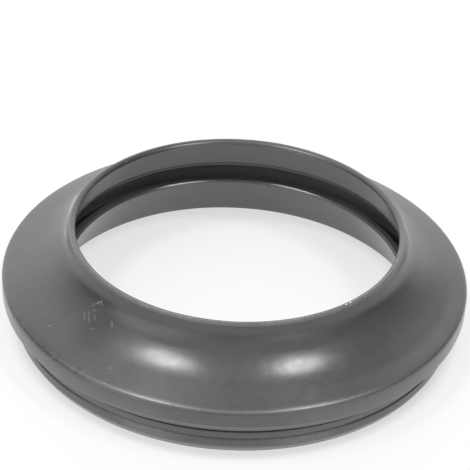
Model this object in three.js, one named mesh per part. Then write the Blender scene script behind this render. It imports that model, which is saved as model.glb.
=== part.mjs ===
// Fork dust cap: one moulded rubber ring. Its plug is pushed into the top of a motorbike's fork
// slider, its flange sits on the slider's rim, and its two lips close on the sliding fork tube.
// Millimetres and degrees. Z is the fork's axis, and the plug's lower face lies at z = 0.
import * as THREE from 'three';

// What the cap fits
const tubeDiameter = 41;
const sliderBore = 54;

// Plug: a bead at its foot, a groove, a rib, and a recess under the flange
const plugSqueeze = 0.5; // how far the rib stands past the slider's bore, all round
const footWidth = 0.5; // lead-in at the bead's lower edge
const footHeight = 0.9;
const footRounding = 0.25;
const baseEdgeRounding = 0.1;
const beadRelief = 0.05; // how much the bead is slimmer than the rib, all round
const beadHeight = 2.05;
const beadRounding = 0.3;
const grooveWidth = 0.3;
const grooveDepth = 0.15; // below the bead's surface
const ribWidth = 0.8;
const ribRounding = 0.1;
const recessDepth = 0.25; // below the rib's surface

// Flange, from the height of the slider's rim up
const seatHeight = 4.55;
const flangeOverhang = 1.5;
const flangeBand = 2.45; // height of the upright rim
const seatCornerRounding = 0.3; // its foot clears the rib below
const flangeLowerRounding = 0.25;
const flangeUpperRounding = 0.6;

// Flare from the flange up to the wiper lip: a shallow skirt, a steeper shoulder and the neck
const skirtSlope = 21.5; // fall towards the flange
const skirtRadius = 13.5; // of the bend between skirt and shoulder
const shoulderSlope = 37;
const shoulderRadius = 4; // of the bend between shoulder and neck
const neckLean = 12; // from upright
const neckDrop = 2.4; // from the lip down to the middle of the neck's bend

// Wiper lip at the top
const capHeight = 13.45;
const wiperSqueeze = 0.6; // how far the free lip stands inside the tube's surface
const wiperTipWidth = 0.75;
const wiperTipFall = 0.32; // drop of the tip's face towards the tube
const wiperInnerRounding = 0.3;
const wiperOuterRounding = 0.15;
const wiperDepth = 4.3; // height of the lip's inner wall
const wiperInnerLean = 18.4;
const wiperHeelRounding = 2.5;

// Inner lip, a cone that narrows upwards from the base
const innerLipClearance = 0.25; // between the lip and the tube
const innerLipHeight = 6.65;
const innerLipTipWidth = 1.15;
const innerLipTipRounding = 0.25;
const innerLipBackRounding = 0.1;
const innerLipRootWidth = 1.9;
const baseInnerRadius = 24.35;
const baseInnerRounding = 0.3;

// Hollow between the two lips
const hollowRadius = 24.7;
const hollowFloor = 4.5;
const hollowRounding = 0.4;
const skirtWall = 1.6;

// Smoothness
const turnSegments = 72;
const smallArcStep = 45;
const flareArcStep = 5;
const heelArcStep = 10;
const sharedLength = 0.98; // share of a side that the arcs at its two ends may take

// Radii and heights that follow from the sizes above
const plugRadius = sliderBore / 2 + plugSqueeze;
const beadRadius = plugRadius - beadRelief;
const grooveRadius = beadRadius - grooveDepth;
const grooveTop = beadHeight + grooveWidth;
const ribTop = grooveTop + ribWidth;
const recessRadius = plugRadius - recessDepth;
const flangeRadius = plugRadius + flangeOverhang;
const flangeTop = seatHeight + flangeBand;
const wiperRadius = tubeDiameter / 2 - wiperSqueeze;
const wiperOuterRadius = wiperRadius + wiperTipWidth;
const innerLipRadius = tubeDiameter / 2 + innerLipClearance;

const slope = (degrees) => Math.tan(THREE.MathUtils.degToRad(degrees));

// Height of the skirt's straight surface at a radius
function skirtHeight(radius) {
  return flangeTop + (flangeRadius - radius) * slope(skirtSlope);
}

// Where the neck, leaning out from the lip, meets the shoulder
function neckFoot() {
  return { r: wiperOuterRadius + neckDrop * slope(neckLean), z: capHeight - neckDrop };
}

// Where the shoulder, falling from the neck's foot, meets the skirt
function shoulderFoot() {
  const top = neckFoot();
  const run = (top.z - skirtHeight(top.r)) / (slope(shoulderSlope) - slope(skirtSlope));
  return { r: top.r + run, z: top.z - run * slope(shoulderSlope) };
}

// Foot of the wiper lip's inner wall, where it breaks into the hollow
function wiperHeel() {
  const z = capHeight - wiperTipFall - wiperDepth;
  return { r: wiperRadius + wiperDepth * slope(wiperInnerLean), z };
}

// Upper corner of the hollow, one wall thickness under the skirt
function hollowCeiling() {
  const wall = skirtWall / Math.cos(THREE.MathUtils.degToRad(skirtSlope));
  return { r: hollowRadius, z: skirtHeight(hollowRadius) - wall };
}

// Back of the inner lip where it grows out of the hollow's floor
function innerLipRoot() {
  const share = hollowFloor / innerLipHeight;
  const face = baseInnerRadius + (innerLipRadius - baseInnerRadius) * share;
  return { r: face + innerLipRootWidth, z: hollowFloor };
}

// Corners of the ring's section in order, each with its rounding
function sectionCorners() {
  return [
    { r: baseInnerRadius, z: 0, rounding: baseInnerRounding },
    { r: beadRadius - footWidth, z: 0, rounding: baseEdgeRounding },
    { r: beadRadius, z: footHeight, rounding: footRounding },
    { r: beadRadius, z: beadHeight, rounding: beadRounding },
    { r: grooveRadius, z: beadHeight, rounding: 0 },
    { r: grooveRadius, z: grooveTop, rounding: 0 },
    { r: plugRadius, z: grooveTop, rounding: ribRounding },
    { r: plugRadius, z: ribTop, rounding: ribRounding },
    { r: recessRadius, z: ribTop, rounding: 0 },
    { r: recessRadius, z: seatHeight, rounding: seatCornerRounding },
    { r: flangeRadius, z: seatHeight, rounding: flangeLowerRounding },
    { r: flangeRadius, z: flangeTop, rounding: flangeUpperRounding },
    { ...shoulderFoot(), rounding: skirtRadius, arcStep: flareArcStep },
    { ...neckFoot(), rounding: shoulderRadius, arcStep: flareArcStep },
    { r: wiperOuterRadius, z: capHeight, rounding: wiperOuterRounding },
    { r: wiperRadius, z: capHeight - wiperTipFall, rounding: wiperInnerRounding },
    { ...wiperHeel(), rounding: wiperHeelRounding, arcStep: heelArcStep },
    { ...hollowCeiling(), rounding: hollowRounding },
    { r: hollowRadius, z: hollowFloor, rounding: hollowRounding },
    { ...innerLipRoot(), rounding: hollowRounding },
    { r: innerLipRadius + innerLipTipWidth, z: innerLipHeight, rounding: innerLipBackRounding },
    { r: innerLipRadius, z: innerLipHeight, rounding: innerLipTipRounding },
  ];
}

// A corner's point, its two sides as vectors, half the angle between them, and how far along them
// its arc starts
function cornerSides(corners, i) {
  const count = corners.length;
  const point = (k) => new THREE.Vector2(corners[k].r, corners[k].z);
  const at = point(i);
  const back = point((i + count - 1) % count).sub(at);
  const ahead = point((i + 1) % count).sub(at);
  const cosine = back.dot(ahead) / (back.length() * ahead.length());
  const halfAngle = Math.acos(THREE.MathUtils.clamp(cosine, -1, 1)) / 2;
  return { at, back, ahead, halfAngle, reach: corners[i].rounding / Math.tan(halfAngle) };
}

// Two arcs that would overlap on the side between them share its length
function fittedReach(sides, i) {
  const count = sides.length;
  const own = sides[i];
  const before = sides[(i + count - 1) % count];
  const after = sides[(i + 1) % count];
  const room = (side, other) => (sharedLength * side.length() * own.reach) / (own.reach + other.reach);
  return Math.min(own.reach, room(own.back, before), room(own.ahead, after));
}

// One corner as an arc that touches both of its sides
function arcPoints(side, reach, arcStep) {
  const radius = reach * Math.tan(side.halfAngle);
  const back = side.back.clone().normalize();
  const ahead = side.ahead.clone().normalize();
  const centre = back.clone().add(ahead).setLength(radius / Math.sin(side.halfAngle)).add(side.at);
  const start = side.at.clone().addScaledVector(back, reach).sub(centre);
  const turn = Math.sign(back.cross(ahead)) * (Math.PI - 2 * side.halfAngle);
  const steps = Math.ceil(Math.abs(turn) / THREE.MathUtils.degToRad(arcStep));
  const points = [];
  for (let i = 0; i <= steps; i++) {
    const angle = start.angle() - (turn * i) / steps;
    points.push(new THREE.Vector2(Math.cos(angle), Math.sin(angle)).multiplyScalar(radius).add(centre));
  }
  return points;
}

// The closed section with its corners rounded, and left bare where they are sharp
function sectionOutline() {
  const corners = sectionCorners();
  const sides = corners.map((_, i) => cornerSides(corners, i));
  const outline = corners.flatMap(({ rounding, arcStep }, i) =>
    rounding === 0 ? [sides[i].at] : arcPoints(sides[i], fittedReach(sides, i), arcStep ?? smallArcStep));
  outline.push(outline[0].clone());
  return outline;
}

// The section turned once around the fork's axis
function capGeometry() {
  const geometry = new THREE.LatheGeometry(sectionOutline(), turnSegments);
  geometry.rotateX(Math.PI / 2);
  return geometry;
}

function rubberMaterial() {
  return new THREE.MeshStandardMaterial({ color: 0x48494a, roughness: 0.4, metalness: 0 });
}

const cap = new THREE.Mesh(capGeometry(), rubberMaterial());
cap.name = 'dust_cap';

const forkDustCap = new THREE.Group();
forkDustCap.add(cap);

export default forkDustCap;
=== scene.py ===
# Looks of the fork dust cap: one moulded black rubber ring on a pale table, under two soft lamps.
# The ring's section is turned again here with fine roundings, and gets its ragged mould edge,
# rubbed edges, scratches, a stain, crumbs and darker places, with painted highlights, sheen,
# reflections and fill light in its colour. Sizes of the ring are in millimetres, and are
# turned into metres where a mesh is made.
import math
import bmesh
import bpy
from mathutils import Matrix, Vector, noise


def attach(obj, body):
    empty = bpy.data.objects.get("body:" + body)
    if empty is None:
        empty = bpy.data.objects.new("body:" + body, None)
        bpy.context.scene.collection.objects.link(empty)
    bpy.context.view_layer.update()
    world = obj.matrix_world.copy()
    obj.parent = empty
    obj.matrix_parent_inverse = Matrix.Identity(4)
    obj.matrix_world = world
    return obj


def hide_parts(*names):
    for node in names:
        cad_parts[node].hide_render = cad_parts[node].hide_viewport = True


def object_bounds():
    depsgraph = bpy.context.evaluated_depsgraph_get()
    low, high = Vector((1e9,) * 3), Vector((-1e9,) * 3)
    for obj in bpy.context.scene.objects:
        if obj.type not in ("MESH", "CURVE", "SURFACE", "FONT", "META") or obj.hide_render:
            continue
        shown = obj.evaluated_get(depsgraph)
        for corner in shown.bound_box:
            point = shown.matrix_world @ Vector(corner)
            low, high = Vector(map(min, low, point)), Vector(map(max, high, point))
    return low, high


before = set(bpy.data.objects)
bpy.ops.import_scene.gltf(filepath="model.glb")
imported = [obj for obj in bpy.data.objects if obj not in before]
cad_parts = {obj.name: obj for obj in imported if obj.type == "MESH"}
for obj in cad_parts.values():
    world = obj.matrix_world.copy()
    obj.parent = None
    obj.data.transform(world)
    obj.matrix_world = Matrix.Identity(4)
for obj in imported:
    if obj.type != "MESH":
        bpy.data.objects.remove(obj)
cad_low, cad_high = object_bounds()

MM = 0.001
IN_MM = (1 / MM, 1 / MM, 1 / MM)

# Camera, in the ring's own frame
IMAGE_SIDE = 470
FOCAL_PIXELS = 1633.4
SENSOR_WIDTH = 36.0
CAMERA_ELEVATION = math.radians(33.48)
CAMERA_ROLL = math.radians(3.02)
CAMERA_DISTANCE = 202.1 * MM
CAMERA_TARGET = Vector((-0.25 * MM, 0, 11.6 * MM))
CLIP_NEAR, CLIP_FAR = 0.01, 20

# Plug and flange
FLANGE_RADIUS = cad_high.x / MM
FLANGE_OVERHANG = 1.5
FLANGE_TOP = 7.0
SEAT_HEIGHT = 4.55
BEAD_RELIEF = 0.05
BEAD_HEIGHT = 2.05
FOOT_WIDTH = 0.5
FOOT_HEIGHT = 0.9
GROOVE_WIDTH = 0.3
GROOVE_DEPTH = 0.15
RIB_WIDTH = 0.8
RECESS_DEPTH = 0.25

# Flare and wiper lip
CAP_HEIGHT = 13.45
SKIRT_SLOPE = 21.5
SHOULDER_SLOPE = 37.0
NECK_LEAN = 12.0
NECK_DROP = 2.4
WIPER_RADIUS = 19.9
WIPER_TIP_WIDTH = 0.75
WIPER_TIP_FALL = 0.32
WIPER_DEPTH = 4.3
WIPER_INNER_LEAN = 18.4

# Small step under the wiper lip's inner edge: how far below the tip it starts, its lean and its size
STEP_START = 0.28
STEP_LEAN = 0.03
STEP_WIDTH = 0.30
STEP_DROP = 0.12

# Inner lip with a narrow chamfer on its tip, and the hollow between the two lips
BASE_INNER_RADIUS = 24.35
INNER_LIP_RADIUS = 20.75
INNER_LIP_HEIGHT = 6.65
INNER_LIP_TIP_WIDTH = 1.15
INNER_LIP_ROOT_WIDTH = 1.9
CHAMFER_TOP_SETBACK = 0.45
CHAMFER_FOOT_SETBACK = 0.12
CHAMFER_DROP = 0.22
HOLLOW_RADIUS = 24.7
HOLLOW_FLOOR = 4.5
SKIRT_WALL = 1.6

# Roundings of the section's corners
BASE_INNER_ROUNDING = 0.3
BASE_EDGE_ROUNDING = 0.1
FOOT_ROUNDING = 0.25
BEAD_ROUNDING = 0.3
GROOVE_ROUNDING = 0.08
RIB_ROUNDING = 0.1
SEAT_CORNER_ROUNDING = 0.3
FLANGE_LOWER_ROUNDING = 0.25
FLANGE_UPPER_ROUNDING = 0.6
SKIRT_RADIUS = 13.5
SHOULDER_RADIUS = 4.0
WIPER_OUTER_ROUNDING = 0.15
WIPER_INNER_ROUNDING = 0.36
STEP_EDGE_ROUNDING = 0.05
STEP_FOOT_ROUNDING = 0.08
WIPER_HEEL_ROUNDING = 2.5
HOLLOW_ROUNDING = 0.4
INNER_LIP_BACK_ROUNDING = 0.1
CHAMFER_TOP_ROUNDING = 0.25
CHAMFER_FOOT_ROUNDING = 0.2

# Radii and heights that follow from the sizes above
PLUG_RADIUS = FLANGE_RADIUS - FLANGE_OVERHANG
BEAD_RADIUS = PLUG_RADIUS - BEAD_RELIEF
GROOVE_TOP = BEAD_HEIGHT + GROOVE_WIDTH
RIB_TOP = GROOVE_TOP + RIB_WIDTH
WIPER_OUTER_RADIUS = WIPER_RADIUS + WIPER_TIP_WIDTH
WIPER_TIP_HEIGHT = CAP_HEIGHT - WIPER_TIP_FALL
INNER_LIP_LEAN = (INNER_LIP_RADIUS - BASE_INNER_RADIUS) / INNER_LIP_HEIGHT

# Fineness of the turned mesh: its steps are closest together at the worn left front
TURN_STEPS = 440
FINE_AZIMUTH = 222.0
FINE_SPREAD = 48.0
FINE_GAIN = 2.0
ARC_STEP = math.radians(18)
LEAST_ARC_STEPS = 4
WIDE_ROUNDING = 1.0
WIDE_ARC_GAIN = 4
RUN_STEP = 0.55

# Unevenness of the moulding, and the ragged mould edge at the flange's left front
WAVE_DEPTH = 0.012
WAVE_SCALE = 0.22
RAGGED_FROM, RAGGED_TO = 200.0, 240.0
RAGGED_FADE = 8.0
RAGGED_REACH = 0.8
RAGGED_DEPTH = 0.075
RAGGED_CENTRE = Vector((FLANGE_RADIUS - 0.2, FLANGE_TOP - 0.1))
COARSE_SCALE, FINE_SCALE = 1.6, 3.7
FINE_SHARE = 0.6
RAGGED_LOSS = 0.9
FLAT_BASE_HEIGHT = 0.01

# Colours of the rubber, of what lies on it, and of the light and shade painted on it
RUBBER_COOL = (0.062, 0.0635, 0.066, 1)
RUBBER_WARM = (0.071, 0.0735, 0.0715, 1)
BLOTCH_COLOUR = (0.080, 0.079, 0.076, 1)
GRAIN_COLOUR = (0.095, 0.096, 0.097, 1)
STAIN_COLOUR = (0.050, 0.044, 0.042, 1)
# Painted fill light in the shaded hollow between the lips, paler again at its left
FILL_LIGHT_COLOUR = (0.165, 0.167, 0.180, 1)
LEFT_FILL_LIGHT_COLOUR = (0.33, 0.33, 0.35, 1)
# Pale of wear, and of the painted highlights, sheen and reflections
WEAR_AND_HIGHLIGHT_COLOUR = (0.237, 0.238, 0.229, 1)
# Dark of painted dark reflections, of the ragged mould edge, and of darker places inside
DARKENING_COLOUR = (0.040, 0.038, 0.034, 1)
SPECK_COLOUR = (0.25, 0.25, 0.245, 1)
# Painted reflection streak round the neck's left side
LEFT_NECK_STREAK_COLOUR = (0.46, 0.47, 0.46, 1)
SCRATCH_COLOUR = (0.46, 0.47, 0.48, 1)

# How strongly each of them shows, from 0 to 1
BLOTCH_SHARE = 0.35
GRAIN_SHARE = 0.36
STAIN_SHARE = 0.85
# Painted fill light at the hollow's left
LEFT_FILL_LIGHT_SHARE = 0.6
SPECK_SHARE = 0.25
LEFT_NECK_STREAK_SHARE = 0.42
SCRATCH_SHARE = 0.55

# How strongly each part of the ring is rubbed pale, or painted pale as a highlight, sheen or reflection; a
# pair gives the least and the most
LIP_WEAR = 0.55
WALL_WEAR = 0.15
# Painted highlights of the lamps on the lips' inner edges at the rear
PAINTED_GLINT_SHARE = 0.60
# Flange: wear on its upper corner with a painted highlight at the front, a painted highlight line low on
# the rim, and painted sheen on the rim
FLANGE_CORNER_WEAR_AND_HIGHLIGHT = (0.08, 0.44)
FLANGE_LINE_HIGHLIGHT = (0.26, 0.52)
FLANGE_BAND_SHEEN = (0.16, 0.28)
# Plug: painted sheen, painted light lifting the recess's shade, bead wear with painted sheen, and a painted
# reflection of the table on the foot
PLUG_PAINTED_SHEEN = 0.20
RECESS_PAINTED_LIGHT = 0.34
BEAD_WEAR_AND_SHEEN = (0.25, 0.70)
FOOT_PAINTED_REFLECTION = 0.70
# Painted shine of the lamps beside the plug's front, and the facing where it falls
PAINTED_SHINE_SHARE = 0.48
SHINE_FACING = -0.935
# Painted reflection streaks at each side of the neck's foot
NECK_SIDE_REFLECTION = 0.60
SKIRT_WEAR = 0.20

# How strongly the darker marks darken it: painted dark reflections, the ragged mould edge's dark, and
# darker places inside
FLANGE_EDGE_DARKENING = 0.52
# Painted dark reflection inside the wiper lip's top at the left rear; the wall and the inner cone darker
# beside the rear
LIP_DARK_REFLECTION = 0.60
WALL_DARKENING = 0.48
CONE_DARKENING = 0.80
NECK_DARK_REFLECTION = 0.38

# Gloss and relief of the rubber
RUBBER_ROUGHNESS = (0.20, 0.25)
WEAR_AND_HIGHLIGHT_ROUGHNESS = 0.08
# Roughness where the hollow's fill light is painted
FILL_LIGHT_ROUGHNESS = 0.3
SCRATCH_ROUGHNESS = 0.25
POLISHED_LOSS = 0.08
RUBBER_IOR = 1.6
RELIEF_DEPTH = 0.01 * MM
GRAIN_RELIEF = 0.30
MOTTLING_RELIEF = 1.6
SCRATCH_RELIEF = 1.2
UPPER_RELIEF = 0.35

# Dry marks on the flare: start azimuth and radius, end azimuth and radius, half width, strength
MARKS = (
    (221.8, 22.05, 223.0, 21.60, 0.15, 0.45),
    (222.9, 21.66, 224.0, 21.36, 0.15, 0.80),
    (224.6, 21.52, 225.0, 21.46, 0.13, 0.85),
    (223.6, 22.32, 223.9, 22.25, 0.17, 0.55),
    (220.8, 22.86, 223.1, 23.55, 0.12, 0.40),
    (223.1, 22.91, 224.9, 23.47, 0.13, 0.50),
    (224.8, 22.59, 226.0, 22.97, 0.11, 0.45),
    (221.9, 22.60, 223.0, 22.95, 0.11, 0.30),
    (230.9, 22.13, 232.3, 22.69, 0.12, 0.28),
    (231.8, 22.45, 232.1, 22.52, 0.17, 0.50),
    (226.7, 23.96, 228.2, 23.65, 0.11, 0.45),
    (216.5, 26.55, 216.8, 26.48, 0.14, 0.60),
    (215.2, 27.14, 216.6, 26.55, 0.08, 0.30),
    (239.2, 26.76, 239.5, 26.70, 0.16, 0.40),
)
SCRATCH_FADE = 1.4
SCRATCH_SHAKE = (0.36, 0.36, 0.36)

# Painted reflection: a pale streak round the left side of the neck's foot, as azimuths and radii
LEFT_NECK_STREAK = ((153.0, 23.70), (163.7, 22.18), (173.3, 21.40), (178.3, 21.24), (184.5, 21.17))
LEFT_NECK_STREAK_HALF_WIDTH = 0.34

# Brown stain beside the marks, as azimuth and radius
STAIN_PLACE = (229.5, 24.2)
STAIN_RADIUS = 4.2
STAIN_CORE = 0.15

# Loose crumbs and burrs of rubber on the edges: azimuth, radius, size along, size across, tone
CRUMBS = (
    (240.7, 28.62, 0.20, 0.12, 0.42),
    (234.0, 28.78, 0.20, 0.13, 0.30),
    (235.5, 28.72, 0.22, 0.11, 0.26),
    (220.5, 28.62, 0.34, 0.15, 0.15),
    (213.6, 28.72, 0.26, 0.14, 0.14),
    (256.4, 28.42, 0.42, 0.09, 0.22),
    (257.8, 28.60, 0.20, 0.13, 0.24),
    (268.0, 28.66, 0.16, 0.09, 0.18),
    (313.1, 28.68, 0.16, 0.10, 0.22),
    (342.4, 27.40, 0.22, 0.14, 0.17),
    (317.1, 20.66, 0.20, 0.13, 0.30),
    (309.2, 20.52, 0.26, 0.15, 0.95),
    (311.0, 20.50, 0.30, 0.15, 0.95),
    (137.7, 20.05, 0.16, 0.11, 0.55),
)
CRUMB_TURN = 0.5
CRUMB_LUMPS = 0.45
CRUMB_LUMP_SCALE = 1.7
CRUMB_THICKNESS = 0.35

# Table, which gives part of its own light; its glow is weaker towards the rear, a painted shade, and near
# the ring's foot, a painted contact shadow
FLOOR_SIZE = 6.0
TABLE_COLOUR = (0.93, 0.94, 0.93, 1)
TABLE_ROUGHNESS = 0.9
TABLE_LIGHT = (0.99, 1.0, 0.98, 1)
REAR_GLOW, REAR_END = 0.62, 20 * MM
FRONT_GLOW, FRONT_END = 0.82, -30 * MM
# Painted contact shadow: how much the glow drops near the ring's foot, and how far it reaches
CONTACT_SHADOW_DEPTH = 0.25
CONTACT_REACH = 0.3
CONTACT_FADE = 1.6

# Two round lamps: their directions from the ring, as shares aside, forwards and up
LEFT_LAMP_ASIDE = -0.32
RIGHT_LAMP_ASIDE = 0.34
LAMP_FORWARD = 0.10
LAMP_UP = 0.935
LAMP_DISTANCE = 0.60
LAMP_SIZE = 0.145
LAMP_POWER = 0.85

# Light of the room from its front to its back: place on the way and light
ROOM_LIGHT = (
    (0.25, (0.58, 0.60, 0.62, 1)),
    (0.80, (1.25, 1.26, 1.24, 1)),
    (0.95, (1.0, 1.01, 0.99, 1)),
)
# Lighter and darker areas of the room: direction, half width in degrees, added light
ROOM_AREAS = (
    ((0.90, 0.15, 0.40), 42, -0.50),
    ((0.78, 0.55, 0.28), 25, -0.35),
    ((-0.90, 0.10, 0.40), 30, -0.38),
    ((-1.0, 0.0, 0.05), 22, -0.30),
    ((0.0, -0.95, 0.30), 20, -0.15),
    ((0.55, -0.78, 0.27), 17, 0.6),
    ((-0.50, -0.82, 0.27), 17, 0.5),
    ((-0.75, -0.48, 0.44), 27, 0.95),
    ((-0.42, 0.68, 0.60), 30, 0.25),
    ((-0.36, 0.08, 0.93), 24, 0.70),
    ((0.50, 0.72, 0.45), 15, -0.35),
    ((0.42, 0.28, 0.86), 18, -0.40),
)


def tangent(degrees):
    return math.tan(math.radians(degrees))


def skirt_height(radius):
    """Height of the skirt's straight surface at a radius."""
    return FLANGE_TOP + (FLANGE_RADIUS - radius) * tangent(SKIRT_SLOPE)


def plug_corners():
    """Corners of the plug and the flange as (radius, height, rounding), from the base outwards."""
    groove_radius = BEAD_RADIUS - GROOVE_DEPTH
    recess_radius = PLUG_RADIUS - RECESS_DEPTH
    return [
        (BASE_INNER_RADIUS, 0, BASE_INNER_ROUNDING),
        (BEAD_RADIUS - FOOT_WIDTH, 0, BASE_EDGE_ROUNDING),
        (BEAD_RADIUS, FOOT_HEIGHT, FOOT_ROUNDING),
        (BEAD_RADIUS, BEAD_HEIGHT, BEAD_ROUNDING),
        (groove_radius, BEAD_HEIGHT, GROOVE_ROUNDING),
        (groove_radius, GROOVE_TOP, GROOVE_ROUNDING),
        (PLUG_RADIUS, GROOVE_TOP, RIB_ROUNDING),
        (PLUG_RADIUS, RIB_TOP, RIB_ROUNDING),
        (recess_radius, RIB_TOP, RIB_ROUNDING),
        (recess_radius, SEAT_HEIGHT, SEAT_CORNER_ROUNDING),
        (FLANGE_RADIUS, SEAT_HEIGHT, FLANGE_LOWER_ROUNDING),
        (FLANGE_RADIUS, FLANGE_TOP, FLANGE_UPPER_ROUNDING),
    ]


def flare_corners():
    """Corners of the flare and the wiper lip, up over the lip and down its inner wall."""
    rise, fall = tangent(SKIRT_SLOPE), tangent(SHOULDER_SLOPE)
    neck_foot = WIPER_OUTER_RADIUS + NECK_DROP * tangent(NECK_LEAN)
    neck_foot_height = CAP_HEIGHT - NECK_DROP
    shoulder_run = (neck_foot_height - skirt_height(neck_foot)) / (fall - rise)
    step_height = WIPER_TIP_HEIGHT - STEP_START
    heel_radius = WIPER_RADIUS + WIPER_DEPTH * tangent(WIPER_INNER_LEAN)
    return [
        (neck_foot + shoulder_run, neck_foot_height - shoulder_run * fall, SKIRT_RADIUS),
        (neck_foot, neck_foot_height, SHOULDER_RADIUS),
        (WIPER_OUTER_RADIUS, CAP_HEIGHT, WIPER_OUTER_ROUNDING),
        (WIPER_RADIUS, WIPER_TIP_HEIGHT, WIPER_INNER_ROUNDING),
        (WIPER_RADIUS + STEP_LEAN, step_height, STEP_EDGE_ROUNDING),
        (WIPER_RADIUS + STEP_WIDTH, step_height - STEP_DROP, STEP_FOOT_ROUNDING),
        (heel_radius, WIPER_TIP_HEIGHT - WIPER_DEPTH, WIPER_HEEL_ROUNDING),
    ]


def hollow_corners():
    """Corners of the hollow between the lips and of the inner lip, down to its tip."""
    ceiling = skirt_height(HOLLOW_RADIUS) - SKIRT_WALL / math.cos(math.radians(SKIRT_SLOPE))
    root_face = BASE_INNER_RADIUS + INNER_LIP_LEAN * HOLLOW_FLOOR
    chamfer_foot = INNER_LIP_HEIGHT - CHAMFER_DROP
    return [
        (HOLLOW_RADIUS, ceiling, HOLLOW_ROUNDING),
        (HOLLOW_RADIUS, HOLLOW_FLOOR, HOLLOW_ROUNDING),
        (root_face + INNER_LIP_ROOT_WIDTH, HOLLOW_FLOOR, HOLLOW_ROUNDING),
        (INNER_LIP_RADIUS + INNER_LIP_TIP_WIDTH, INNER_LIP_HEIGHT, INNER_LIP_BACK_ROUNDING),
        (INNER_LIP_RADIUS + CHAMFER_TOP_SETBACK, INNER_LIP_HEIGHT, CHAMFER_TOP_ROUNDING),
        (INNER_LIP_RADIUS + CHAMFER_FOOT_SETBACK, chamfer_foot, CHAMFER_FOOT_ROUNDING),
    ]


def rounded_corner(before, corner, after, rounding):
    """Points of the arc that touches both sides of a corner."""
    back, ahead = (before - corner).normalized(), (after - corner).normalized()
    half = back.angle(ahead) / 2
    reach = rounding / math.tan(half)
    centre = corner + (back + ahead).normalized() * rounding / math.sin(half)
    start = corner + back * reach - centre
    turn = math.pi - 2 * half
    side = 1 if back.cross(ahead) < 0 else -1
    steps = max(LEAST_ARC_STEPS, math.ceil(turn / ARC_STEP))
    if rounding > WIDE_ROUNDING:
        steps *= WIDE_ARC_GAIN
    return [centre + Matrix.Rotation(side * turn * i / steps, 2) @ start for i in range(steps + 1)]


def section_outline():
    """The closed section as a list of 2D points, with arcs at its corners and short straight runs."""
    corners = plug_corners() + flare_corners() + hollow_corners()
    places = [Vector((radius, height)) for radius, height, _ in corners]
    arcs = []
    for i, (_, _, rounding) in enumerate(corners):
        arcs.append(rounded_corner(places[i - 1], places[i], places[(i + 1) % len(places)], rounding))
    outline = []
    for i, arc in enumerate(arcs):
        outline += arc
        ahead = arcs[(i + 1) % len(arcs)][0]
        runs = math.ceil((ahead - arc[-1]).length / RUN_STEP)
        outline += [arc[-1].lerp(ahead, k / runs) for k in range(1, runs)]
    return outline


def step_angles(steps):
    """Angles of the turned sections, packed closer around the worn left front."""
    weights = []
    for k in range(steps):
        off = (360 * k / steps - FINE_AZIMUTH + 180) % 360 - 180
        weights.append(1 / (1 + FINE_GAIN * math.exp(-(off / FINE_SPREAD) ** 2)))
    total, angle, angles = sum(weights), 0, []
    for weight in weights:
        angles.append(angle)
        angle += 2 * math.pi * weight / total
    return angles


def section_normals(outline):
    """Outward directions of the outline's points in the section's plane."""
    count = len(outline)
    normals = []
    for i in range(count):
        along = (outline[(i + 1) % count] - outline[i - 1]).normalized()
        normals.append(Vector((along.y, -along.x)))
    return normals


def smooth_step(low, high, value):
    share = min(max((value - low) / (high - low), 0), 1)
    return share * share * (3 - 2 * share)


def unevenness(point, radius, height):
    """How far the moulding stands out from the section at a point, or in where it is negative."""
    depth = WAVE_DEPTH * (noise.noise(point * WAVE_SCALE) - 0.5)
    azimuth = math.degrees(math.atan2(point.y, point.x)) % 360
    ragged = smooth_step(RAGGED_FROM, RAGGED_FROM + RAGGED_FADE, azimuth)
    ragged *= smooth_step(RAGGED_TO, RAGGED_TO - RAGGED_FADE, azimuth)
    from_edge = math.hypot(radius - RAGGED_CENTRE.x, height - RAGGED_CENTRE.y)
    if ragged > 0 and from_edge < RAGGED_REACH:
        rough = noise.noise(point * COARSE_SCALE) + FINE_SHARE * noise.noise(point * FINE_SCALE)
        depth += RAGGED_DEPTH * ragged * (1 - from_edge / RAGGED_REACH) * (rough - RAGGED_LOSS)
    return depth


def turned_mesh(name, outline, steps):
    """A closed ring mesh with the outline turned about Z, in metres.

    It is slightly uneven, but stays within the ring's radius and height, and its base stays flat.
    """
    count = len(outline)
    normals = section_normals(outline)
    top = cad_high.z / MM
    vertices = []
    for angle in step_angles(steps):
        c, s = math.cos(angle), math.sin(angle)
        for p, normal in zip(outline, normals):
            depth = unevenness(Vector((p.x * c, p.x * s, p.y)), p.x, p.y)
            radius = min(p.x + normal.x * depth, FLANGE_RADIUS)
            height = min(p.y + normal.y * depth, top) if p.y > FLAT_BASE_HEIGHT else max(p.y, 0)
            vertices.append((radius * c * MM, radius * s * MM, height * MM))
    faces = []
    for k in range(steps):
        here, there = k * count, (k + 1) % steps * count
        for i in range(count):
            j = (i + 1) % count
            faces.append((here + i, there + i, there + j, here + j))
    mesh = bpy.data.meshes.new(name)
    mesh.from_pydata(vertices, [], faces)
    mesh.polygons.foreach_set("use_smooth", [True] * len(faces))
    mesh.update()
    return mesh


def outer_skin(outline):
    """The outline's run from the flange's rim up over the flare to the lip's inner edge."""
    rim_radius = FLANGE_RADIUS - 0.06
    rim = max(i for i, p in enumerate(outline) if p.x > rim_radius and p.y > SEAT_HEIGHT)
    inner = min(range(len(outline)), key=lambda i: outline[i].x)
    return outline[rim:inner + 1]


def skin_point(skin, azimuth, radius):
    """The place on the outer skin at an azimuth in degrees and a radius, in millimetres."""
    for lower, upper in zip(skin, skin[1:]):
        if upper.x <= radius <= lower.x:
            share = (lower.x - radius) / max(lower.x - upper.x, 1e-6)
            height = lower.y + (upper.y - lower.y) * share
            break
    angle = math.radians(azimuth)
    return Vector((radius * math.cos(angle), radius * math.sin(angle), height))


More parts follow.
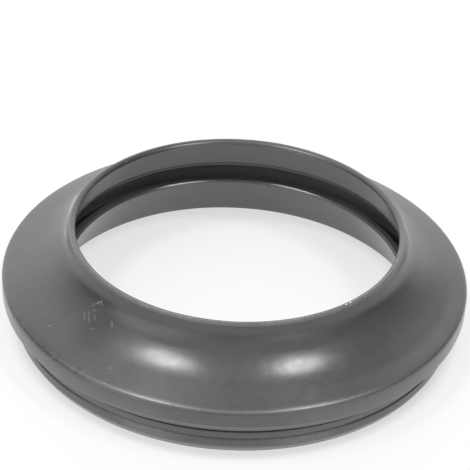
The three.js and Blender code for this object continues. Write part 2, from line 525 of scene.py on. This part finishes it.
class Graph:
    """Short calls for building a material's or a world's nodes."""

    def __init__(self, tree):
        self.nodes, self.links = tree.nodes, tree.links

    def feed(self, socket, value):
        if isinstance(value, bpy.types.NodeSocket):
            self.links.new(value, socket)
        else:
            socket.default_value = value

    def coordinates(self, kind):
        return self.nodes.new("ShaderNodeTexCoord").outputs[kind]

    def split(self, vector):
        """The three parts of a vector."""
        node = self.nodes.new("ShaderNodeSeparateXYZ")
        self.feed(node.inputs[0], vector)
        return node.outputs[:]

    def math(self, operation, *values):
        node = self.nodes.new("ShaderNodeMath")
        node.operation = operation
        for socket, value in zip(node.inputs, values):
            self.feed(socket, value)
        return node.outputs[0]

    def vector(self, operation, *values, out=0):
        node = self.nodes.new("ShaderNodeVectorMath")
        node.operation = operation
        for socket, value in zip(node.inputs, values):
            self.feed(socket, value)
        return node.outputs[out]

    def length(self, vector):
        return self.vector("LENGTH", vector, out=1)

    def scaled(self, vector, factor):
        node = self.nodes.new("ShaderNodeVectorMath")
        node.operation = "SCALE"
        self.feed(node.inputs[0], vector)
        self.feed(node.inputs["Scale"], factor)
        return node.outputs[0]

    def ramp(self, value, low, high):
        """Rises smoothly from 0 at low to 1 at high, or falls where high is the smaller."""
        node = self.nodes.new("ShaderNodeMapRange")
        node.interpolation_type = "SMOOTHSTEP"
        bounds = (high, low, 1.0, 0.0) if high < low else (low, high, 0.0, 1.0)
        self.feed(node.inputs[0], value)
        for socket, bound in zip(node.inputs[1:5], bounds):
            socket.default_value = bound
        return node.outputs[0]

    def near_band(self, value, centre, half, soft):
        """1 where a value is within half of the centre, falling to 0 over a soft margin."""
        off = self.math("ABSOLUTE", self.math("SUBTRACT", value, centre))
        return self.ramp(off, half + soft, half)

    def blend(self, share, first, second):
        """The first number where the share is 0, the second where it is 1."""
        return self.math("MULTIPLY_ADD", share, second - first, first)

    def noise(self, where, scale, detail=2.0, roughness=0.5, out="Fac"):
        node = self.nodes.new("ShaderNodeTexNoise")
        self.feed(node.inputs["Vector"], where)
        node.inputs["Scale"].default_value = scale
        node.inputs["Detail"].default_value = detail
        node.inputs["Roughness"].default_value = roughness
        return node.outputs[out]

    def mix(self, share, first, second):
        """The first colour where the share is 0, the second where it is 1."""
        node = self.nodes.new("ShaderNodeMix")
        node.data_type = "RGBA"
        self.feed(node.inputs["Factor"], share)
        self.feed(node.inputs[6], first)
        self.feed(node.inputs[7], second)
        return node.outputs[2]

    def most(self, *values):
        top = values[0]
        for value in values[1:]:
            top = self.math("MAXIMUM", top, value)
        return top

    def total(self, *values):
        result = values[0]
        for value in values[1:]:
            result = self.math("ADD", result, value)
        return result

    def product(self, *values):
        result = values[0]
        for value in values[1:]:
            result = self.math("MULTIPLY", result, value)
        return result


class RingGraph(Graph):
    """The rubber's nodes, which know where on the ring a place lies, in millimetres.

    facing is 1 at the ring's rear and -1 at its front; side is 1 at its right and -1 at its left.
    """

    def __init__(self, tree):
        super().__init__(tree)
        self.where = self.vector("MULTIPLY", self.coordinates("Object"), IN_MM)
        self.radius = self.length(self.vector("MULTIPLY", self.where, (1, 1, 0)))
        across, deep, self.height = self.split(self.where)
        self.facing = self.math("DIVIDE", deep, self.radius)
        self.side = self.math("DIVIDE", across, self.radius)
        self.aside = self.math("ABSOLUTE", self.side)
        self.mottling = self.noise(self.where, 0.28, 4.0, 0.6)
        self.blotches = self.noise(self.where, 1.1, 3.0)
        self.grain = self.noise(self.where, 7.0, 3.0, 0.6)
        self.patches = self.blend(self.ramp(self.noise(self.where, 0.9, 3.0, 0.6), 0.35, 0.65), 0.82, 1.08)

    def near_corner(self, corner, reach, soft):
        """1 within reach of a corner of the section, falling to 0 over a soft margin."""
        across = self.math("SUBTRACT", self.radius, corner[0])
        up = self.math("SUBTRACT", self.height, corner[1])
        away = self.math("SQRT", self.total(self.product(across, across), self.product(up, up)))
        return self.ramp(away, reach + soft, reach)

    def past_line(self, start, slope):
        """How far out a place lies from a line of the section that is at radius start at height 0."""
        return self.math("SUBTRACT", self.radius, self.math("MULTIPLY_ADD", self.height, slope, start))

    def scratch(self, where, start, end, half_width):
        """1 on the straight scratch between two places, 0 away from it."""
        along = end - start
        offset = self.vector("SUBTRACT", where, start)
        share = self.vector("DOT_PRODUCT", offset, along / max(along.length_squared, 1e-6), out=1)
        share = self.math("MAXIMUM", self.math("MINIMUM", share, 1.0), 0.0)
        away = self.length(self.vector("SUBTRACT", offset, self.scaled(along, share)))
        return self.ramp(away, half_width * SCRATCH_FADE, 0.0)


def lip_wear(ring):
    """The wiper lip's rounded top: less on its inside at the rear, and less at both sides."""
    inside = ring.ramp(ring.radius, WIPER_RADIUS + 0.60, WIPER_RADIUS + 0.32)
    inside_rear = ring.product(inside, ring.ramp(ring.facing, -0.20, 0.30))
    return ring.product(
        ring.ramp(ring.height, WIPER_TIP_HEIGHT - 0.20, WIPER_TIP_HEIGHT - 0.01),
        ring.blend(inside_rear, 1.0, 0.1), ring.patches, LIP_WEAR,
        ring.blend(ring.ramp(ring.aside, 0.70, 0.92), 1.0, 0.72))


def wall_wear(ring):
    """The wiper lip's inner wall, mostly in the middle of the rear."""
    slope = tangent(WIPER_INNER_LEAN)
    behind = ring.past_line(WIPER_RADIUS + WIPER_TIP_HEIGHT * slope, -slope)
    return ring.product(
        ring.ramp(ring.height, WIPER_TIP_HEIGHT - 4.93, WIPER_TIP_HEIGHT - 0.63),
        ring.ramp(behind, 0.48, 0.36), ring.blend(ring.ramp(ring.facing, 0.70, 0.94), 0.15, 1.0), WALL_WEAR)


def painted_glints(ring):
    """Painted highlights of the lamps: thin bright lines at the rear, on the wiper lip's inner edge and the
    inner lip's chamfer.
    """
    rear = ring.product(ring.ramp(ring.facing, 0.80, 0.93), ring.ramp(ring.facing, 1.003, 0.95))
    edge = ring.near_corner((WIPER_RADIUS + 0.15, WIPER_TIP_HEIGHT + 0.02), 0.07, 0.10)
    tip = ring.near_corner((INNER_LIP_RADIUS + 0.28, INNER_LIP_HEIGHT - 0.14), 0.12, 0.12)
    return ring.product(ring.most(edge, tip), rear, PAINTED_GLINT_SHARE)


def sheen_beside_front(ring):
    """1 all round, but less at the very front, where the painted sheen of the rim and the plug is fainter.
    """
    return ring.blend(ring.ramp(ring.facing, -0.95, -0.99), 1.0, 0.4)


def flange_wear_and_sheen(ring):
    """Wear on the flange's upper corner with a painted highlight at the front, a painted highlight line low
    on its rim, and a faint painted sheen on the whole rim.
    """
    corner = ring.near_corner((FLANGE_RADIUS - 0.33, FLANGE_TOP + 0.02), 0.06, 0.24)
    corner = ring.product(corner, ring.blend(ring.ramp(ring.facing, -0.60, -0.90), *FLANGE_CORNER_WEAR_AND_HIGHLIGHT))
    line = ring.product(
        ring.near_band(ring.height, SEAT_HEIGHT + 0.47, 0.06, 0.22),
        ring.ramp(ring.radius, FLANGE_RADIUS - 0.35, FLANGE_RADIUS - 0.20),
        ring.blend(ring.ramp(ring.facing, -0.80, -0.93), *FLANGE_LINE_HIGHLIGHT))
    band = ring.product(
        ring.ramp(ring.radius, FLANGE_RADIUS - 0.40, FLANGE_RADIUS - 0.10), sheen_beside_front(ring),
        ring.blend(ring.ramp(ring.height, FLANGE_TOP - 0.1, FLANGE_TOP - 1.7), *FLANGE_BAND_SHEEN))
    return ring.most(corner, line, band)


def plug_wear_and_sheen(ring):
    """Painted sheen on the whole plug faintly, painted light in its recess, bead wear with painted sheen, a
    painted reflection on the foot, and a painted shine beside its very front.
    """
    on_plug = ring.ramp(ring.radius, PLUG_RADIUS - 0.6, PLUG_RADIUS - 0.4)
    under_seat = ring.ramp(ring.height, SEAT_HEIGHT + 0.05, SEAT_HEIGHT - 0.05)
    plug = ring.product(on_plug, under_seat, sheen_beside_front(ring), PLUG_PAINTED_SHEEN)
    recess = ring.product(on_plug, ring.near_band(ring.height, SEAT_HEIGHT - 0.65, 0.5, 0.3), RECESS_PAINTED_LIGHT)
    bead = ring.product(
        ring.near_corner((BEAD_RADIUS - 0.1, BEAD_HEIGHT - 0.1), 0.08, 0.16), ring.patches,
        ring.blend(ring.near_band(ring.facing, SHINE_FACING, 0.02, 0.06), *BEAD_WEAR_AND_SHEEN))
    foot = ring.product(
        ring.ramp(ring.height, FOOT_HEIGHT + 0.55, FOOT_HEIGHT - 0.35),
        ring.ramp(ring.radius, BEAD_RADIUS - 0.85, BEAD_RADIUS - 0.65), FOOT_PAINTED_REFLECTION)
    shine = ring.product(
        ring.near_band(ring.facing, SHINE_FACING, 0.02, 0.045),
        ring.ramp(ring.height, BEAD_HEIGHT + 0.05, BEAD_HEIGHT - 0.05),
        ring.ramp(ring.radius, BEAD_RADIUS - 0.65, BEAD_RADIUS - 0.45), PAINTED_SHINE_SHARE)
    return ring.most(plug, recess, bead, foot, shine)


def flare_reflections_and_wear(ring):
    """A painted reflection streak at each side of the neck's foot, and wear on the skirt's foot at the
    right front.
    """
    rearward = ring.math("SUBTRACT", ring.facing, ring.product(ring.ramp(ring.side, -0.5, 0.5), 0.14))
    neck = ring.product(
        ring.near_band(ring.radius, WIPER_OUTER_RADIUS + 0.33, 0.10, 0.40),
        ring.ramp(ring.height, CAP_HEIGHT - 3.25, CAP_HEIGHT - 2.45),
        ring.near_band(rearward, 0.02, 0.10, 0.16), ring.ramp(ring.aside, 0.80, 0.92), NECK_SIDE_REFLECTION)
    skirt = ring.product(
        ring.ramp(ring.radius, FLANGE_RADIUS - 2.8, FLANGE_RADIUS - 1.6),
        ring.ramp(ring.height, FLANGE_TOP - 0.1, FLANGE_TOP),
        ring.ramp(ring.side, 0.35, 0.75), ring.ramp(ring.facing, 0.05, -0.25), SKIRT_WEAR)
    return ring.most(neck, skirt)


def wear_and_painted_highlights(ring):
    """Wear on the lip, its wall, the bead and the skirt, and painted highlights, sheen and reflections
    elsewhere.
    """
    return ring.most(
        lip_wear(ring), wall_wear(ring), painted_glints(ring),
        flange_wear_and_sheen(ring), plug_wear_and_sheen(ring), flare_reflections_and_wear(ring))


def outside_darkening(ring):
    """Darker colour on the flange's corner at the left front, for the dark ragged mould edge with a painted
    dark reflection along it, and a painted dark reflection of the skirt at the front of the neck's two
    sides.
    """
    left_front = ring.product(ring.ramp(ring.side, -0.50, -0.62), ring.ramp(ring.facing, -0.30, -0.42))
    corner = ring.product(
        ring.near_corner((FLANGE_RADIUS - 0.10, FLANGE_TOP - 0.25), 0.10, 0.20),
        left_front, ring.ramp(ring.grain, 0.25, 0.55), FLANGE_EDGE_DARKENING)
    both_sides = ring.most(
        ring.near_band(ring.side, -0.76, 0.06, 0.12), ring.near_band(ring.side, 0.85, 0.10, 0.16))
    neck = ring.product(
        ring.near_band(ring.radius, WIPER_OUTER_RADIUS + 0.45, 0.20, 0.45),
        ring.ramp(ring.height, CAP_HEIGHT - 3.55, CAP_HEIGHT - 3.25),
        both_sides, ring.ramp(ring.facing, -0.04, -0.24), NECK_DARK_REFLECTION)
    return ring.most(corner, neck)


def inside_darkening(ring):
    """A painted dark reflection on the wiper lip's inner top at the left rear, its wall darker further
    down, and the inner cone darker below its tip, both beside the rear.
    """
    left_rear = ring.product(ring.ramp(ring.facing, 0.35, 0.55), ring.ramp(ring.side, -0.36, -0.50))
    lip = ring.product(
        ring.ramp(ring.radius, WIPER_RADIUS + 0.55, WIPER_RADIUS + 0.40),
        ring.ramp(ring.height, WIPER_TIP_HEIGHT - 0.33, WIPER_TIP_HEIGHT - 0.23), left_rear, LIP_DARK_REFLECTION)
    beside_rear = ring.product(ring.ramp(ring.facing, 0.94, 0.70), ring.ramp(ring.facing, -0.1, 0.3))
    wall = ring.product(
        ring.ramp(ring.height, WIPER_TIP_HEIGHT - 0.13, WIPER_TIP_HEIGHT - 3.13),
        ring.ramp(ring.height, WIPER_TIP_HEIGHT - 4.53, WIPER_TIP_HEIGHT - 3.73),
        ring.ramp(ring.radius, WIPER_RADIUS + 1.7, WIPER_RADIUS + 1.3), beside_rear, WALL_DARKENING)
    cone = ring.product(
        ring.ramp(ring.height, INNER_LIP_HEIGHT - 0.35, INNER_LIP_HEIGHT - 0.75),
        ring.ramp(ring.radius, BASE_INNER_RADIUS + 0.15, BASE_INNER_RADIUS - 0.05), beside_rear, CONE_DARKENING)
    return ring.most(lip, wall, cone)


def hollow_fill_light(ring):
    """Painted fill light: paler colour that lifts the shade in the hollow between the two lips."""
    skirt = ring.math("MULTIPLY_ADD", ring.radius, -tangent(SKIRT_SLOPE), skirt_height(0))
    below = ring.math("SUBTRACT", skirt, ring.height)
    behind = ring.past_line(BASE_INNER_RADIUS, INNER_LIP_LEAN)
    return ring.product(
        ring.ramp(below, 0.55, 1.15), ring.ramp(ring.height, HOLLOW_FLOOR - 0.3, HOLLOW_FLOOR + 0.1),
        ring.ramp(behind, 1.1, 1.5),
        ring.ramp(ring.radius, INNER_LIP_RADIUS + 0.45, INNER_LIP_RADIUS + 0.85),
        ring.ramp(ring.radius, HOLLOW_RADIUS + 0.3, HOLLOW_RADIUS + 0.1))


def dry_scratches(ring, skin):
    """The dry marks on the flare, with shaken edges and a gritty inside."""
    shake = ring.vector("SUBTRACT", ring.noise(ring.where, 3.6, out="Color"), (0.5, 0.5, 0.5))
    shaken = ring.vector("ADD", ring.where, ring.vector("MULTIPLY", shake, SCRATCH_SHAKE))
    masks = []
    for from_azimuth, from_radius, to_azimuth, to_radius, half_width, strength in MARKS:
        start = skin_point(skin, from_azimuth, from_radius)
        end = skin_point(skin, to_azimuth, to_radius)
        masks.append(ring.product(ring.scratch(shaken, start, end, half_width), strength))
    grit = ring.ramp(ring.noise(ring.where, 5.0), 0.36, 0.62)
    return ring.product(ring.most(*masks), ring.blend(grit, 0.25, 1.10), SCRATCH_SHARE)


def left_neck_streak(ring, skin):
    """The painted reflection round the neck's foot: a pale streak laid as straight scratches end to end."""
    stops = [skin_point(skin, azimuth, radius) for azimuth, radius in LEFT_NECK_STREAK]
    runs = [ring.scratch(ring.where, start, end, LEFT_NECK_STREAK_HALF_WIDTH) for start, end in zip(stops, stops[1:])]
    return ring.product(ring.most(*runs), LEFT_NECK_STREAK_SHARE)


def brown_stain(ring, skin):
    away = ring.vector("DISTANCE", ring.where, skin_point(skin, *STAIN_PLACE), out=1)
    return ring.product(ring.ramp(away, STAIN_RADIUS, STAIN_RADIUS * STAIN_CORE), STAIN_SHARE)


def rubber_colour(ring, skin, wear_and_highlights, fill_light, scratches):
    blotches = ring.product(ring.ramp(ring.blotches, 0.3, 0.7), BLOTCH_SHARE)
    grain = ring.product(ring.ramp(ring.grain, 0.3, 0.75), GRAIN_SHARE)
    # Painted fill light, stronger at the hollow's left
    left_fill_light = ring.product(fill_light, ring.ramp(ring.side, -0.45, -0.80), LEFT_FILL_LIGHT_SHARE)
    specks = ring.product(ring.ramp(ring.noise(ring.where, 3.4, 1.0, 0.4), 0.735, 0.80), SPECK_SHARE)
    colour = ring.mix(ring.ramp(ring.mottling, 0.35, 0.65), RUBBER_COOL, RUBBER_WARM)
    layers = (
        (blotches, BLOTCH_COLOUR),
        (grain, GRAIN_COLOUR),
        (brown_stain(ring, skin), STAIN_COLOUR),
        (fill_light, FILL_LIGHT_COLOUR),
        (left_fill_light, LEFT_FILL_LIGHT_COLOUR),
        (wear_and_highlights, WEAR_AND_HIGHLIGHT_COLOUR),
        (ring.most(outside_darkening(ring), inside_darkening(ring)), DARKENING_COLOUR),
        (specks, SPECK_COLOUR),
        (left_neck_streak(ring, skin), LEFT_NECK_STREAK_COLOUR),
        (scratches, SCRATCH_COLOUR),
    )
    for share, layer in layers:
        colour = ring.mix(share, colour, layer)
    return colour


def rubber_roughness(ring, wear_and_highlights, fill_light, scratches):
    """Satin, rougher where it is worn or scratched, on the painted highlights and the hollow's painted fill
    light, and smoother on the inner lip's tip.
    """
    polished = ring.product(
        ring.ramp(ring.height, INNER_LIP_HEIGHT - 0.55, INNER_LIP_HEIGHT - 0.35),
        ring.ramp(ring.height, INNER_LIP_HEIGHT + 0.15, INNER_LIP_HEIGHT + 0.05),
        ring.ramp(ring.radius, INNER_LIP_RADIUS + 1.65, INNER_LIP_RADIUS + 1.45))
    return ring.total(
        ring.blend(ring.ramp(ring.blotches, 0.25, 0.75), *RUBBER_ROUGHNESS),
        ring.product(wear_and_highlights, WEAR_AND_HIGHLIGHT_ROUGHNESS), ring.product(fill_light, FILL_LIGHT_ROUGHNESS),
        ring.product(polished, -POLISHED_LOSS), ring.product(scratches, SCRATCH_ROUGHNESS))


def rubber_relief(ring, scratches):
    """Direction of the surface with its grain and mottling, which are fainter on the upper neck."""
    grain = ring.product(ring.grain, GRAIN_RELIEF)
    mottling = ring.product(ring.mottling, MOTTLING_RELIEF)
    upper_neck = ring.ramp(ring.height, CAP_HEIGHT - 3.05, CAP_HEIGHT - 1.85)
    relief = ring.product(ring.total(grain, mottling), ring.blend(upper_neck, 1.0, UPPER_RELIEF))
    relief = ring.math("SUBTRACT", relief, ring.product(scratches, SCRATCH_RELIEF))
    bump = ring.nodes.new("ShaderNodeBump")
    bump.inputs["Strength"].default_value = 1.0
    bump.inputs["Distance"].default_value = RELIEF_DEPTH
    ring.feed(bump.inputs["Height"], relief)
    return bump.outputs[0]


def new_material(name):
    material = bpy.data.materials.new(name)
    material.use_nodes = True
    return material


def rubber_material(skin):
    material = new_material("rubber")
    ring = RingGraph(material.node_tree)
    shader = ring.nodes["Principled BSDF"]
    # Pale wear with painted highlights, painted fill light in the hollow, and scratches
    wear_and_highlights, fill_light, scratches = wear_and_painted_highlights(ring), hollow_fill_light(ring), dry_scratches(ring, skin)
    ring.feed(shader.inputs["Base Color"], rubber_colour(ring, skin, wear_and_highlights, fill_light, scratches))
    ring.feed(shader.inputs["Roughness"], rubber_roughness(ring, wear_and_highlights, fill_light, scratches))
    ring.feed(shader.inputs["Normal"], rubber_relief(ring, scratches))
    shader.inputs["IOR"].default_value = RUBBER_IOR
    return material


def add_object(name, data):
    made = bpy.data.objects.new(name, data)
    bpy.context.scene.collection.objects.link(made)
    return made


def make_cap(outline, skin):
    mesh = turned_mesh("moulded_ring", outline, TURN_STEPS)
    cap = add_object("moulded_ring", mesh)
    cap.data.materials.append(rubber_material(skin))
    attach(cap, "root")
    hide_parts("dust_cap")


def crumb_material(name, tone):
    material = new_material(name)
    graph = Graph(material.node_tree)
    shader = graph.nodes["Principled BSDF"]
    where = graph.vector("MULTIPLY", graph.coordinates("Object"), IN_MM)
    patches = graph.ramp(graph.noise(where, 9.0, 3.0), 0.35, 0.65)
    dark = (tone * 0.8, tone * 0.8, tone * 0.79, 1)
    pale = (tone, tone, tone * 0.97, 1)
    graph.feed(shader.inputs["Base Color"], graph.mix(patches, dark, pale))
    graph.feed(shader.inputs["Roughness"], graph.blend(patches, 0.45, 0.65))
    return material


def held_inside(place):
    """The place itself, or the nearest one within the ring's own radius and height."""
    inward = min(1, cad_high.x / math.hypot(place.x, place.y))
    return Vector((place.x * inward, place.y * inward, min(place.z, cad_high.z)))


def crumb_mesh(name, place, turn, along, across):
    """A squashed lump at a place, in metres."""
    built = bmesh.new()
    bmesh.ops.create_icosphere(built, subdivisions=3, radius=1)
    size = Vector((along / 2, across / 2, across * CRUMB_THICKNESS))
    for vertex in built.verts:
        vertex.co *= 1 + CRUMB_LUMPS * noise.noise(vertex.co * CRUMB_LUMP_SCALE + place)
        vertex.co = held_inside((turn @ (vertex.co * size) + place) * MM)
    mesh = bpy.data.meshes.new(name)
    built.to_mesh(mesh)
    built.free()
    mesh.polygons.foreach_set("use_smooth", [True] * len(mesh.polygons))
    return mesh


def make_crumbs(skin):
    """Crumbs and burrs, half sunk in the skin, each with its long side round the ring."""
    for i, (azimuth, radius, along, across, tone) in enumerate(CRUMBS):
        name = "crumb_%02d" % (i + 1)
        place = skin_point(skin, azimuth, radius)
        angle = math.radians(azimuth) + math.pi / 2 + CRUMB_TURN * noise.noise(place)
        mesh = crumb_mesh(name, place, Matrix.Rotation(angle, 4, "Z"), along, across)
        mesh.materials.append(crumb_material(name, tone))
        crumb = add_object(name, mesh)
        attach(crumb, "root")


def make_camera():
    data = bpy.data.cameras.new("camera")
    data.sensor_width = SENSOR_WIDTH
    data.lens = SENSOR_WIDTH * FOCAL_PIXELS / IMAGE_SIDE
    data.clip_start, data.clip_end = CLIP_NEAR, CLIP_FAR
    camera = add_object("camera", data)
    back = Vector((0, -math.cos(CAMERA_ELEVATION), math.sin(CAMERA_ELEVATION)))
    level_right = Vector((1, 0, 0))
    level_up = back.cross(level_right)
    right = level_right * math.cos(CAMERA_ROLL) + level_up * math.sin(CAMERA_ROLL)
    up = back.cross(right)
    turn = Matrix((right, up, back)).transposed().to_4x4()
    camera.matrix_world = Matrix.Translation(CAMERA_TARGET + back * CAMERA_DISTANCE) @ turn
    bpy.context.scene.camera = camera


def floor_glow(graph):
    """Share of the table's own light: more towards the front, so the rear has a painted shade, and less
    where the ring's foot is close, a painted contact shadow.
    """
    where = graph.coordinates("Object")
    away = graph.product(graph.length(where), 1 / MM)
    near = graph.near_band(away, BEAD_RADIUS - CONTACT_REACH, CONTACT_REACH, CONTACT_FADE)
    forward = graph.ramp(graph.split(where)[1], REAR_END, FRONT_END)
    glow = graph.blend(forward, REAR_GLOW, FRONT_GLOW)
    return graph.math("SUBTRACT", glow, graph.product(near, CONTACT_SHADOW_DEPTH))


def table_material():
    material = new_material("pale_table")
    graph = Graph(material.node_tree)
    shader = graph.nodes["Principled BSDF"]
    shader.inputs["Base Color"].default_value = TABLE_COLOUR
    shader.inputs["Roughness"].default_value = TABLE_ROUGHNESS
    shader.inputs["Specular IOR Level"].default_value = 0.0
    light = graph.nodes.new("ShaderNodeEmission")
    light.inputs["Color"].default_value = TABLE_LIGHT
    mix = graph.nodes.new("ShaderNodeMixShader")
    for socket, value in zip(mix.inputs, (floor_glow(graph), shader.outputs[0], light.outputs[0])):
        graph.feed(socket, value)
    graph.feed(graph.nodes["Material Output"].inputs["Surface"], mix.outputs[0])
    return material


def make_floor():
    mesh = bpy.data.meshes.new("table")
    half = FLOOR_SIZE / 2
    corners = [(-half, -half, 0), (half, -half, 0), (half, half, 0), (-half, half, 0)]
    mesh.from_pydata(corners, [], [(0, 1, 2, 3)])
    mesh.materials.append(table_material())
    floor = add_object("table", mesh)


def make_lamp(name, aside):
    data = bpy.data.lights.new(name, "AREA")
    data.shape = "DISK"
    data.size = LAMP_SIZE
    data.energy = LAMP_POWER
    lamp = add_object(name, data)
    direction = Vector((aside, -LAMP_FORWARD, LAMP_UP)).normalized()
    lamp.location = direction * LAMP_DISTANCE
    lamp.rotation_mode = "QUATERNION"
    lamp.rotation_quaternion = direction.to_track_quat("Z", "Y")


def make_world():
    """A room that is brighter behind the ring, with a few lighter and darker areas."""
    world = bpy.data.worlds.new("room")
    bpy.context.scene.world = world
    world.use_nodes = True
    graph = Graph(world.node_tree)
    where = graph.coordinates("Generated")
    gradient = graph.nodes.new("ShaderNodeValToRGB")
    stops = gradient.color_ramp.elements
    stops.new(ROOM_LIGHT[-1][0])
    for stop, (position, colour) in zip(stops, ROOM_LIGHT):
        stop.position = position
        stop.color = colour
    graph.feed(gradient.inputs[0], graph.split(where)[1])
    light = gradient.outputs["Color"]
    for direction, half_width, added in ROOM_AREAS:
        close = graph.vector("DOT_PRODUCT", where, Vector(direction).normalized(), out=1)
        area = graph.product(graph.ramp(close, math.cos(math.radians(half_width)), 1.0), added)
        light = graph.vector("ADD", light, area)
    graph.feed(graph.nodes["Background"].inputs["Color"], light)


outline = section_outline()
skin = outer_skin(outline)
make_camera()
make_cap(outline, skin)
make_crumbs(skin)
make_floor()
make_lamp("lamp_left", LEFT_LAMP_ASIDE)
make_lamp("lamp_right", RIGHT_LAMP_ASIDE)
make_world()
bpy.context.scene.view_settings.view_transform = "Standard"
